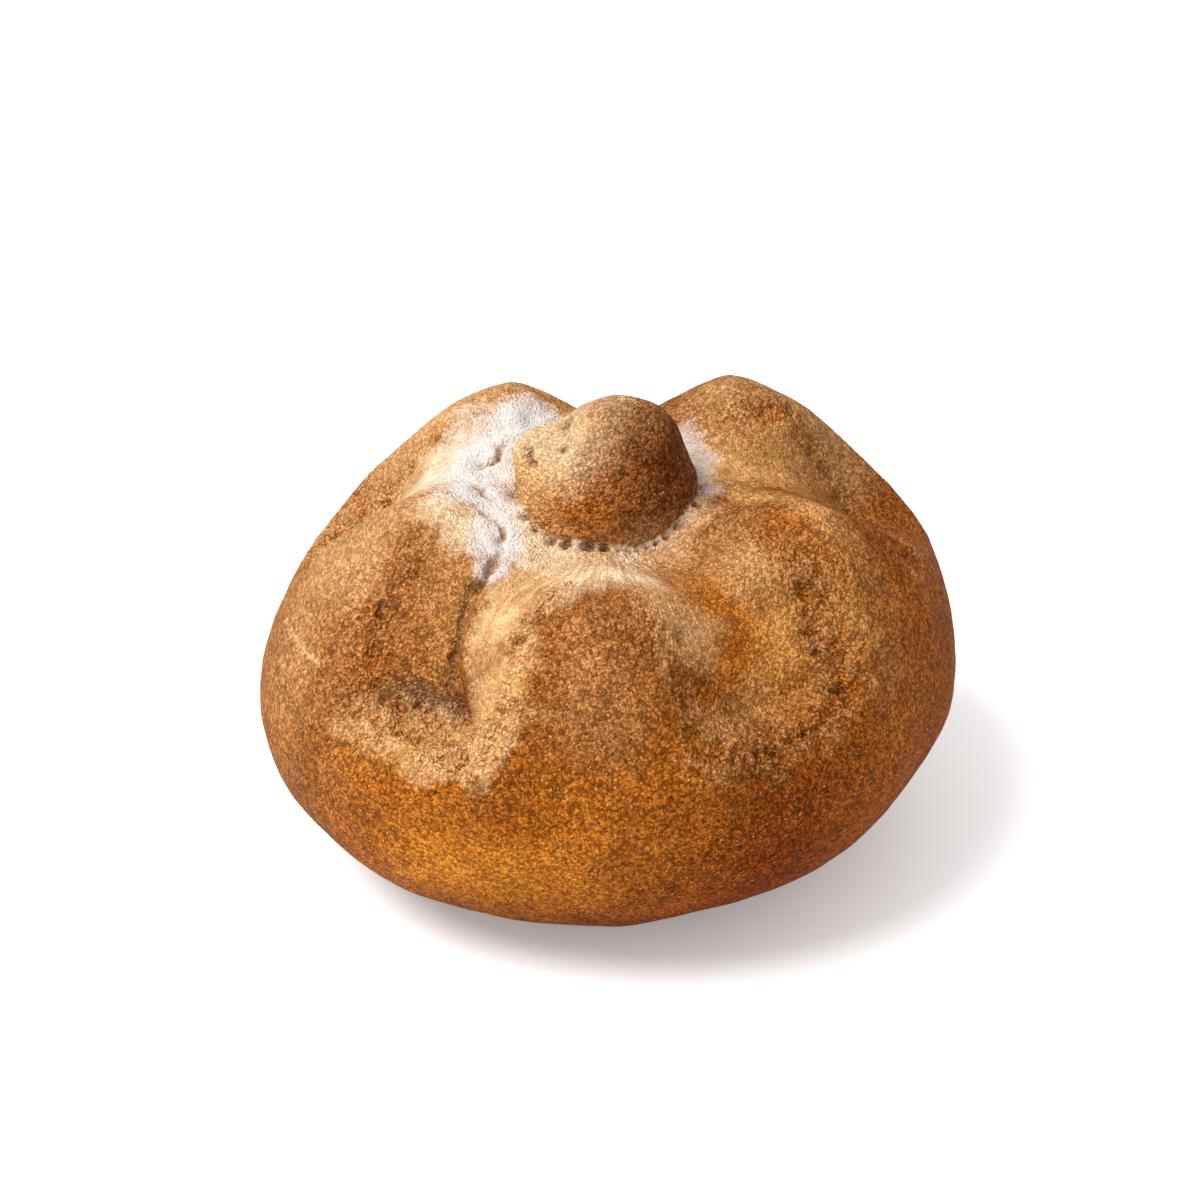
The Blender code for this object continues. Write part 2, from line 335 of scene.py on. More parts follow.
# Each dab tints the crust towards a colour along its route: most give the baked colour, three give painted
# shade and one painted light. Later dabs lie over earlier ones.
dabs = [
    # painted shade: the lower right, away from the lamp, is darkened towards the low colour
    {"name": "low right", "route": [(-30, -8), (-50, -8), (-62, -18), (-80, -26)], "reach": 27,
     "colour": "low", "amount": 0.95},
    {"name": "low front", "route": [(-120, -4), (-104, -6), (-88, 4)], "reach": 24, "colour": "rust",
     "amount": 0.9},
    # painted light: a warm pool of bounce light from the floor at the front foot
    {"name": "foot", "route": [(-116, -6), (-100, -11)], "reach": 13, "colour": "glow", "amount": 0.8},
    {"name": "left", "route": [(150, 10), (-176, 26), (-160, 20)], "reach": 28, "colour": "tan",
     "amount": 0.8},
    {"name": "left lobe", "route": [(-172, 40), (-160, 42)], "reach": 16, "colour": "fawn", "amount": 0.7},
    {"name": "left crown", "route": [(-178, 46), (-166, 52)], "reach": 17, "colour": "fawn",
     "amount": 0.95},
    {"name": "rear left lobe", "route": [(128, 58), (146, 38)], "reach": 20, "colour": "fawn",
     "amount": 0.95},
    {"name": "rear left lobe, paler", "route": [(152, 54), (146, 44)], "reach": 13, "colour": "pale",
     "amount": 0.4},
    {"name": "left flank, paler", "route": [(-168, 22), (-160, 14)], "reach": 9, "colour": "fawn",
     "amount": 0.45},
    {"name": "right side", "route": [(10, 6), (-18, 24), (-34, 4)], "reach": 26, "colour": "umber",
     "amount": 0.9},
    {"name": "rear right lobe", "route": [(46, 60), (34, 40)], "reach": 13, "colour": "fawn",
     "amount": 0.8},
    {"name": "rear right patch", "route": [(36, 56), (31, 48)], "reach": 5, "colour": "umber",
     "amount": 0.55},
    {"name": "back", "route": [(60, 10), (95, 12), (130, 6)], "reach": 26, "colour": "umber",
     "amount": 0.6},
    {"name": "front lobe", "route": [(-91, 52), (-92, 30)], "reach": 11.5, "colour": "brown",
     "amount": 0.95},
    {"name": "front right, upper", "route": [(-72, 63), (-50, 63), (-36, 60)], "reach": 9.5,
     "colour": "fawn", "amount": 0.65},
    {"name": "right crest", "route": [(-26, 54), (-14, 46), (-10, 36)], "reach": 9, "colour": "umber",
     "amount": 0.95},
    {"name": "right lobe top", "route": [(0, 68), (-10, 62), (-14, 56), (-17, 47)], "reach": 4.5,
     "colour": "gold", "amount": 0.5},
    {"name": "right dent floor", "route": [(24, 68), (19, 56)], "reach": 9, "colour": "gold",
     "amount": 0.9},
    {"name": "right dent floor, low", "route": [(19, 52), (20, 42)], "reach": 12, "colour": "tan",
     "amount": 0.7},
    {"name": "back dent floor", "route": [(88, 64), (88, 46)], "reach": 9, "colour": "gold", "amount": 0.7},
    {"name": "left dent floor", "route": [(160, 66), (162, 52)], "reach": 10, "colour": "cream",
     "amount": 0.9},
    {"name": "front right floor", "route": [(-58, 54), (-60, 42), (-58, 31)], "reach": 8.5,
     "colour": "orange", "amount": 0.8},
    {"name": "front right flank", "route": [(-77, 56), (-72, 44)], "reach": 8, "colour": "fawn",
     "amount": 1.0},
    {"name": "front right floor, right", "route": [(-43, 54), (-46, 44)], "reach": 7.0, "colour": "gold",
     "amount": 0.45},
    {"name": "front right floor, low", "route": [(-47, 41), (-53, 30)], "reach": 7.5, "colour": "honey",
     "amount": 0.75},
    {"name": "front right low floor", "route": [(-68, 25), (-58, 26)], "reach": 5.5, "colour": "fawn",
     "amount": 0.45},
    {"name": "front valley", "route": [(-118, 60), (-102, 60), (-88, 62)], "reach": 8.0, "colour": "cream",
     "amount": 1.0},
    {"name": "front left wall", "route": [(-117, 60), (-116, 46), (-112, 30)], "reach": 6.5,
     "colour": "pale", "amount": 1.0},
    {"name": "beside the flour", "route": [(-136, 66), (-133, 61), (-130, 55)], "reach": 2.6,
     "colour": "gold", "amount": 0.9},
    {"name": "left crest", "route": [(-156, 62), (-150, 60), (-166, 58)], "reach": 6, "colour": "cream",
     "amount": 0.9},
    {"name": "right of the front right rim", "route": [(-31, 42), (-34, 32)], "reach": 11, "colour": "tan",
     "amount": 1.0},
    {"name": "front left ledge", "route": [(-153, 50), (-146, 38), (-146, 20)], "reach": 6.5,
     "colour": "brown", "amount": 0.8},
    {"name": "front left tongue", "route": [(-136, 58), (-134, 46), (-130, 30)], "reach": 7.5,
     "colour": "tan", "amount": 0.9},
    # painted shade along the crease
    {"name": "front left crease", "route": [(-130, 52), (-128, 32), (-119, 23)], "reach": 1.3,
     "colour": "dark", "amount": 0.35},
    # painted shade deep in the pocket
    {"name": "front left pocket", "route": [(-134, 24), (-122, 22)], "reach": 4.5, "colour": "grey",
     "amount": 0.85},
    {"name": "front left rim", "route": [(-138, 18.5), (-130, 16), (-119, 16), (-110, 24), (-109, 34)],
     "reach": 5.0, "colour": "gold", "amount": 0.9},
    {"name": "front left rim, right end", "route": [(-114, 18), (-110, 22)], "reach": 4.2, "colour": "pale",
     "amount": 0.9},
    {"name": "front right rim", "route": [(-40, 36), (-43, 26), (-52, 18), (-66, 17)], "reach": 4.5,
     "colour": "tan", "amount": 0.35},
    {"name": "crater", "route": [(-90, 86), (90, 89)], "reach": 18.5, "colour": "dust", "amount": 1.7},
    {"name": "ring, front left", "route": [(-152, 70), (-128, 68), (-96, 68)], "reach": 6, "colour": "cream",
     "amount": 0.85},
    {"name": "ring, front right", "route": [(-90, 69), (-60, 70), (-28, 71)], "reach": 4.5, "colour": "pale",
     "amount": 0.7},
    {"name": "left scratch", "route": [(-171, 18), (-160, 19.5), (-151.5, 21)], "reach": 0.65,
     "colour": "pale", "amount": 0.8, "clean": 1},
]
# How ragged the borders get: wave width, how far they wander, and where in the noise they start.
borders = {
    "colour": (9.0, 3.6, 8.0), "colourFine": (2.5, 1.6, 2.0), "powder": (4.0, 1.6, 6.0),
    "crag": (5.0, 2.2, 0.0), "crack": (2.2, 0.9, 4.0),
}
# How uneven the dough and its broken crust are: the width of each kind of wave, and how far it rises.
surface = {
    "swell": 30, "swellLift": 0.55, "bumps": 9, "bumpsLift": 0.20,
    "lumps": 3.2, "lumpsLift": 1.3, "lumpsPale": 1.3,
    "crumbs": 1.1, "crumbsLift": 0.6, "crumbsPale": 1.3, "crumbEdge": 0.7, "crumbLevel": 0.3,
    "holes": 2.8, "holesDepth": 1.1, "holesDark": 1.6, "holeEdge": 0.36, "holeRound": 0.7,
    "powder": 2.6, "powderLift": 0.55, "powderFloor": 0.05,    # only above this level, in metres
    "streaksLift": 0.16, "streaksRound": 22, "streaksOut": 14,
    "grit": 0.28, "gritPatches": 12, "gritSpread": 1.5,        # how crumbly the plain crust is
    # painted shade: cragShade in the holes of the broken crust, gapShade in the open cracks
    "cragShade": 0.8, "gapShade": 0.7, "gapPowder": 0.75, "crackEnds": (0.06, 0.94),
    "least": 0.02, "leastPowder": 0.1,    # shares under which the skin is left as it is
    # painted shade towards the bottom: its strength, the level in millimetres where it starts, and over how
    # many millimetres it grows
    "lowShade": 0.75, "lowLevel": 14, "lowSoft": 12,
}
meshing = {
    "cuts": 58,             # rows across each side of the cube that the dome is blown up from
    "coarseBelow": -14,     # latitude under which the rows stay as they are
    "margin": 0.6,          # how far the fine rows go past a band
}


def blownUpCube(cuts):
    shape = bmesh.new()
    bmesh.ops.create_cube(shape, size=2)
    bmesh.ops.subdivide_edges(shape, edges=shape.edges[:], cuts=cuts, use_grid_fill=True)
    for vertex in shape.verts:
        vertex.co = Vector([math.tan(part * math.pi / 4) for part in vertex.co]).normalized()
    return shape


# cuts the chosen faces in four on the unit ball
def refined(shape, wanted):
    centres = np.array([face.calc_center_median() for face in shape.faces])
    centres /= np.linalg.norm(centres, axis=1)[:, None]
    wantedFaces = {face for face, yes in zip(shape.faces, wanted(centres)) if yes}
    edges = [edge for edge in shape.edges if any(face in wantedFaces for face in edge.link_faces)]
    bmesh.ops.subdivide_edges(shape, edges=edges, cuts=1, use_grid_fill=True)
    for vertex in shape.verts:
        vertex.co.normalize()


def bodyColours(places, crag, bare, height):
    ragged = wobbled(wobbled(places, *borders["colour"]), *borders["colourFine"])
    colours = np.tile(np.array(palette["crust"]), (len(places), 1))
    for dab in dabs:
        distance = alongRoute(places if dab.get("clean") else ragged, dab["route"])[0]
        weight = dab["amount"] * bell(distance, dab["reach"] * mm, edge=1.5)
        colours = mixed(colours, dab["colour"], weight)
    # painted shade: the crust darkens towards the bottom
    below = np.clip((surface["lowLevel"] - places[:, 2] / mm) / surface["lowSoft"], 0, 1)
    colours = mixed(colours, "low", surface["lowShade"] * below)
    # the broken crust is coloured by its relief: orange in the holes, which is crust colour with painted
    # shade in the pits, and pale bare crumb on the rises, partly a painted highlight
    colours = mixed(colours, "orange", surface["cragShade"] * crag * np.clip(-height, 0, 1))
    return mixed(colours, "crumb", bare * np.clip(height, 0, 1))


def bodyAmount(places, patches):
    ragged = wobbled(places, *borders["powder"])
    amount = np.zeros(len(places))
    for patch in patches:
        distance = alongRoute(ragged, patch["route"])[0]
        amount = np.maximum(amount, patch["amount"] * bell(distance, patch["reach"] * mm, edge=1.2))
    return amount


# fine lines that run outwards from the middle
def streaks(places):
    outward = places * (1, 1, 0)
    outward *= surface["streaksRound"] / np.linalg.norm(outward, axis=1)[:, None]
    pulled = outward + places / (surface["streaksOut"] * mm)
    return np.array([noise.fractal(Vector(p), 1.0, 2.0, 3) for p in pulled])


def brokenCrust(places):
    ragged = wobbled(places, *borders["crag"])
    crag, depth, bare = np.zeros((3, len(places)))
    for band in crags:
        weight = bell(alongRoute(ragged, band["route"])[0], band["reach"] * mm, edge=1.0)
        crag = np.maximum(crag, weight)
        depth = np.maximum(depth, weight * band["depth"])
        bare = np.maximum(bare, weight * band["pale"])
    return crag, depth, bare


# how far the cracks and pits go in, and how open the cracks are
def openings(places):
    ragged = wobbled(places, *borders["crack"])
    inward, gaping = np.zeros((2, len(places)))
    for crack in cracks:
        distance, share = alongRoute(ragged, crack["route"])
        narrow = np.sin(math.pi * np.clip(share, *surface["crackEnds"]))**0.5    # towards both ends
        cut = narrow * bell(distance, crack["reach"] * mm, edge=1.0)
        inward += crack["depth"] * cut
        if not crack.get("shallow"):
            gaping = np.maximum(gaping, cut)
    for azimuth, latitude, radius, depth in pits:
        distance = np.linalg.norm(ragged - domePlace(azimuth, latitude), axis=1)
        inward += depth * bell(distance, radius * mm, edge=1.0)
    return inward, gaping


def buildBody():
    shape = blownUpCube(meshing["cuts"])
    bands, front = crags + cracks + [ring], [{"route": ring["frontRoute"], "reach": ring["frontReach"]}]
    refined(shape, lambda ball: ball[:, 2] > math.sin(math.radians(meshing["coarseBelow"])))
    refined(shape, lambda ball: nearAny(ballToDome(ball), bands, meshing["margin"]) & (ball[:, 2] > 0))
    refined(shape, lambda ball: nearAny(ballToDome(ball), front, 0) & (ball[:, 2] > 0))
    result = meshFrom(shape, "body")
    places = ballToDome(readPoints(result))
    writePoints(result, shapedPoints(places))
    points, normals = readPoints(result), readPoints(result, "normal")
    print("body:", len(result.vertices), "points")

    lift = surface["swellLift"] * ripple(points, surface["swell"], octaves=2, shift=3.0)
    lift += surface["bumpsLift"] * ripple(points, surface["bumps"], shift=7.0)
    crag, depth, bare = brokenCrust(places)
    rough = depth > surface["least"]
    lumps = ripple(points[rough], surface["lumps"], octaves=4, shift=1.0)
    crumbs = np.clip(1 - cells(points[rough], surface["crumbs"], shift=3.0) / surface["crumbEdge"], 0, 1)
    crumbs -= surface["crumbLevel"]
    holes = np.clip(1 - cells(points[rough], surface["holes"], shift=5.0) / surface["holeEdge"], 0, 1)
    holes **= surface["holeRound"]
    broken = surface["lumpsLift"] * lumps + surface["crumbsLift"] * crumbs - surface["holesDepth"] * holes
    lift[rough] += depth[rough] * broken
    floury, streaky = bodyAmount(places, flour), bodyAmount(places, stretched)
    dusted = (floury > surface["leastPowder"]) & (places[:, 2] > surface["powderFloor"])
    drifts = ripple(points[dusted], surface["powder"], octaves=4, shift=12.0)
    lift[dusted] += surface["powderLift"] * floury[dusted] * drifts
    pulled = streaky > surface["least"]
    lift[pulled] += surface["streaksLift"] * streaky[pulled] * streaks(places[pulled])
    inward, gaping = openings(places)
    writePoints(result, points + normals * ((lift - inward) * mm)[:, None])

    height = np.zeros(len(places))
    paler = surface["lumpsPale"] * lumps + surface["crumbsPale"] * crumbs - surface["holesDark"] * holes
    height[rough] = 0.5 + paler
    # painted shade: grey in the open cracks, where the flour is thinner too
    colours = mixed(bodyColours(places, crag, bare, height), "grey", surface["gapShade"] * gaping)
    patches = ripple(points, surface["gritPatches"], octaves=2, shift=21.0)
    grit = surface["grit"] * np.clip(1 + surface["gritSpread"] * patches, 0, 2)
    return result, {"bakeAndPaintedLight": colours, "flour": floury * (1 - surface["gapPowder"] * gaping),
                    "crag": np.maximum(crag, grit), "stretch": streaky}


# The knob is an egg of dough with lumps, each towards a direction, with its reach in radians.
knob = {
    "centre": (-0.3, 0.5, 59.2), "radii": (13.2, 12.3, 9.8), "lowRadius": 15.0,
    "subdivisions": 6, "grit": 0.5,
    "lumps": [
        {"name": "top", "towards": (0.30, 0.0, 1.0), "lift": 3.6, "reach": 1.0},
        {"name": "left shoulder", "towards": (-0.86, 0.0, 0.60), "lift": 2.1, "reach": 0.6},
        {"name": "lower left", "towards": (-0.75, -0.6, -0.45), "lift": 1.5, "reach": 0.6},
        {"name": "dip on top", "towards": (-0.45, -0.1, 0.9), "lift": -0.9, "reach": 0.4},
        {"name": "right cheek", "towards": (1.0, -0.3, 0.0), "lift": 0.6, "reach": 0.6},
        {"name": "notch", "towards": (0.82, -0.1, 0.60), "lift": -1.5, "reach": 0.36},
        {"name": "front cheek", "towards": (-0.25, -1.0, 0.2), "lift": 0.5, "reach": 0.6},
        {"name": "notch behind", "towards": (0.1, 1.0, 0.5), "lift": -0.8, "reach": 0.6},
        {"name": "pore, top", "towards": (-0.42, 0.08, 0.90), "lift": -1.9, "reach": 0.095},
        {"name": "pore, upper left", "towards": (-0.48, -0.33, 0.81), "lift": -1.3, "reach": 0.08},
        {"name": "pore, left", "towards": (-0.79, -0.21, 0.58), "lift": -1.9, "reach": 0.10},
        {"name": "pore, left again", "towards": (-0.76, -0.34, 0.53), "lift": -1.5, "reach": 0.08},
    ],
    "bumps": (8, 0.25), "grain": (2.5, 0.12),    # wave width and height
    "borderWaves": 4, "borderWander": 0.12, "poreShade": 0.8,
    "flourUnder": 0.4, "flourReach": 0.8,
}
# The knob's colours are dabs too, each towards a direction.
knobDabs = [
    {"name": "low front", "towards": (-0.2, -1, -0.1), "reach": 1.1, "colour": "crust", "amount": 0.8},
    {"name": "lowest front", "towards": (-0.35, -1, -0.3), "reach": 0.8, "colour": "glow", "amount": 0.8},
    {"name": "top left", "towards": (-0.75, 0.1, 0.80), "reach": 1.3, "colour": "cream", "amount": 1.05},
    {"name": "top", "towards": (0.1, -0.2, 1), "reach": 0.65, "colour": "fawn", "amount": 0.5},
    {"name": "left", "towards": (-1, -0.5, 0.1), "reach": 0.85, "colour": "gold", "amount": 0.85},
    {"name": "right", "towards": (1.0, -0.5, 0.7), "reach": 1.2, "colour": "dark", "amount": 0.95},
    {"name": "lower left spot", "towards": (-0.5, -0.9, 0.1), "reach": 0.45, "colour": "umber",
     "amount": 0.7},
    {"name": "under", "towards": (0, 0, -1), "reach": 1.72, "colour": "pale", "amount": 1.7},
]


def knobColours(ball):
    wander = np.array([noise.noise_vector(Vector(p * knob["borderWaves"])) for p in ball])
    ragged = ball + knob["borderWander"] * wander
    ragged /= np.linalg.norm(ragged, axis=1)[:, None]
    colours = np.tile(np.array(palette["brown"]), (len(ball), 1))
    for dab in knobDabs:
        weight = dab["amount"] * bell(angleTo(ragged, dab["towards"]), dab["reach"], edge=1.5)
        colours = mixed(colours, dab["colour"], weight)
    # painted shade inside the pores
    for lump in knob["lumps"]:
        if lump["name"].startswith("pore"):
            weight = knob["poreShade"] * bell(angleTo(ball, lump["towards"]), lump["reach"], edge=1.0)
            colours = mixed(colours, "pore", weight)
    return colours


def buildKnob():
    shape = bmesh.new()
    bmesh.ops.create_icosphere(shape, subdivisions=knob["subdivisions"], radius=1)
    result = meshFrom(shape, "knob")
    ball = readPoints(result)
    swell = np.zeros(len(ball))
    for lump in knob["lumps"]:
        swell += lump["lift"] * bell(angleTo(ball, lump["towards"]), lump["reach"])
    radii = np.tile(np.array(knob["radii"]), (len(ball), 1))
    radii[ball[:, 2] < 0, 2] = knob["lowRadius"]
    points = mm * (np.array(knob["centre"]) + ball * radii + ball * swell[:, None])
    bumpSize, bumpLift = knob["bumps"]
    grainSize, grainLift = knob["grain"]
    uneven = bumpLift * ripple(points, bumpSize, shift=2.0)
    uneven += grainLift * ripple(points, grainSize, octaves=2, shift=9.0)
    writePoints(result, points + ball * (mm * uneven)[:, None])
    print("knob:", len(ball), "points")
    powder = knob["flourUnder"] * bell(ball[:, 2] + 1, knob["flourReach"])
    return result, {"bakeAndPaintedLight": knobColours(ball), "flour": np.clip(powder, 0, 1),
                    "crag": np.full(len(ball), knob["grit"]), "stretch": np.zeros(len(ball))}


# the body with its resting face
def cutFlat(mesh):
    shape = bmesh.new()
    shape.from_mesh(mesh)
    everything = shape.verts[:] + shape.edges[:] + shape.faces[:]
    bmesh.ops.bisect_plane(shape, geom=everything, dist=1e-6, plane_co=(0, 0, 0), plane_no=(0, 0, 1),
                           clear_inner=True)
    rim = [edge for edge in shape.edges if edge.is_boundary]
    for vertex in {vertex for edge in rim for vertex in edge.verts}:
        vertex.co.z = 0
    bmesh.ops.holes_fill(shape, edges=rim)
    bmesh.ops.recalc_face_normals(shape, faces=shape.faces[:])
    return meshFrom(shape, "crust")


def unionOf(body, knobObject):
    union = body.modifiers.new("one dough", "BOOLEAN")
    union.operation = "UNION"
    union.solver = "EXACT"
    union.object = knobObject
    graph = bpy.context.evaluated_depsgraph_get()
    joined = bpy.data.meshes.new_from_object(body.evaluated_get(graph))
    body.modifiers.clear()
    body.data = joined
    bpy.data.objects.remove(knobObject, do_unlink=True)
    return joined


# body and knob grew together, so the seam is rounded off
def softenSeam(mesh, seam):
    tree = treeOf(seam)
    shape = bmesh.new()
    shape.from_mesh(mesh)
    soft = [vertex for vertex in shape.verts if tree.find(vertex.co)[2] < ring["softReach"] * mm]
    for turn in range(ring["softTurns"]):
        bmesh.ops.smooth_vert(shape, verts=soft, factor=0.5, use_axis_x=True, use_axis_y=True,
                              use_axis_z=True)
    shape.to_mesh(mesh)
    shape.free()


# pores along the seam, pushed in towards the middle and down
def pressPores(points, seam):
    seamAzimuth = np.degrees(np.arctan2(seam[:, 1], seam[:, 0]))
    hollow = np.zeros(len(points))
    for azimuth, radius, depth in ring["pores"]:
        middle = seam[np.argmin(np.abs((seamAzimuth - azimuth + 180) % 360 - 180))]
        outward = middle * (1, 1, 0) / np.linalg.norm(middle[:2])
        middle = middle + outward * ring["poresOut"] * mm
        inward = -0.5 * outward - np.array([0, 0, 1.0])
        push = bell(np.linalg.norm(points - middle, axis=1), radius * mm, edge=0.9)
        points = points + inward / np.linalg.norm(inward) * (push * depth * mm)[:, None]
        hollow = np.maximum(hollow, push)
    return points, hollow


def buildRoll():
    bodyMesh, bodyPaint = buildBody()
    knobMesh, knobPaint = buildKnob()
    roll = linked("crust", cutFlat(bodyMesh))
    joined = unionOf(roll, linked("knob", knobMesh))
    print("body and knob are one dough")

    # the paint of each point comes from the point of the body or the knob that it was
    tree = treeOf(np.vstack([readPoints(bodyMesh), readPoints(knobMesh)]))
    found = [tree.find(vertex.co) for vertex in joined.vertices]
    origins = np.array([index for place, index, gap in found])
    gaps = np.array([gap for place, index, gap in found])
    paint = {name: np.concatenate([bodyPaint[name], knobPaint[name]])[origins] for name in bodyPaint}
    # points that neither of them had lie on the seam or on the rim of the resting face
    points = readPoints(joined)
    seam = points[(gaps > ring["seamGap"]) & (points[:, 2] > ring["seamAbove"])]
    softenSeam(joined, seam)
    points, hollow = pressPores(readPoints(joined), seam)
    writePoints(joined, points)
    print("ring:", len(seam), "seam points,", len(ring["pores"]), "pores")

    # painted shade in the pores along the seam, where the flour is thinner too
    paint["flour"] = paint["flour"] * (1 - ring["poreShade"] * hollow)
    paint["bakeAndPaintedLight"] = mixed(paint["bakeAndPaintedLight"], "pore", ring["poreShade"] * hollow)
    for name in ("flour", "crag", "stretch"):
        addNumbers(joined, name, paint[name])
    # the colour attribute holds the baked crust colour together with painted shade and painted light
    bakeAndPaintedLight = joined.attributes.new("bakeAndPaintedLight", "FLOAT_COLOR", "POINT")
    colours = np.hstack([paint["bakeAndPaintedLight"], np.ones((len(points), 1))])
    bakeAndPaintedLight.data.foreach_set("color", colours.astype(np.float32).ravel())
    joined.shade_smooth()
    joined.calc_loop_triangles()
    print("crust:", len(joined.loop_triangles), "triangles")
    return roll


# Sizes of the grain in millimetres, and how strongly each kind shows.
crustLook = {
    "grain": 0.26, "coarseGrain": 1.4, "blotch": 8.0, "broad": 26.0,
    "fineShare": 0.8, "coarseShare": 0.5, "beadShare": 0.22, "luckShare": 0.42,
    "bead": 0.42, "beadEdge": 0.75, "grainRange": (0.60, 1.24), "grainPeaks": 1.7,
    "grainDark": (0.34, 0.28, 0.20), "grainLight": (2.35, 2.50, 2.75),
    "grainFade": (0.03, 0.40, 1.0, 0.34),    # from dark crust to pale crust, and the grain's strength on them
    "calm": 0.55, "calmGrain": 0.6,          # where the skin is stretched
    "blotchRange": (0.35, 0.65), "blotchDark": (0.86, 0.82, 0.75), "blotchLight": (1.12, 1.14, 1.17),
    "broadDark": (0.92, 0.90, 0.86), "broadLight": (1.06, 1.07, 1.10),
    "streakWide": 30.0, "streakLong": 9.0, "streakRange": (0.36, 0.62),
    "streakDark": (0.80, 0.66, 0.46), "streakLight": (1.20, 1.28, 1.40),
    "speck": 1.15, "speckEdge": (0.20, 0.08), "speckLuck": (0.72, 0.78), "speckShare": 0.6,
    "speckColour": (0.80, 0.52, 0.25),
    "crumb": 0.65, "crumbEdge": (0.75, 0.2), "crumbGap": (0.84, 0.60, 0.36), "crumbTop": (1.20, 1.26, 1.32),
    "brightest": (0.88, 0.82, 0.76),
    "flourColour": (0.57, 0.535, 0.505), "flourShade": (0.42, 0.36, 0.305), "flourShadeRange": (0.30, 0.50),
    "flourPatchy": 0.9, "flourGrainy": 1.3, "flourRange": (0.08, 0.95), "flourThin": 0.25,
    "roughness": (0.55, 0.80), "flourRoughness": 0.95, "specular": 0.04, "specularTint": (1.0, 0.66, 0.36),
    "bump": 0.9, "coarseHeight": 0.7, "fineHeight": 0.65, "beadHeight": 0.35, "speckHeight": 0.15,
    "crumbHeight": 0.8, "flourHeight": 0.55,
}


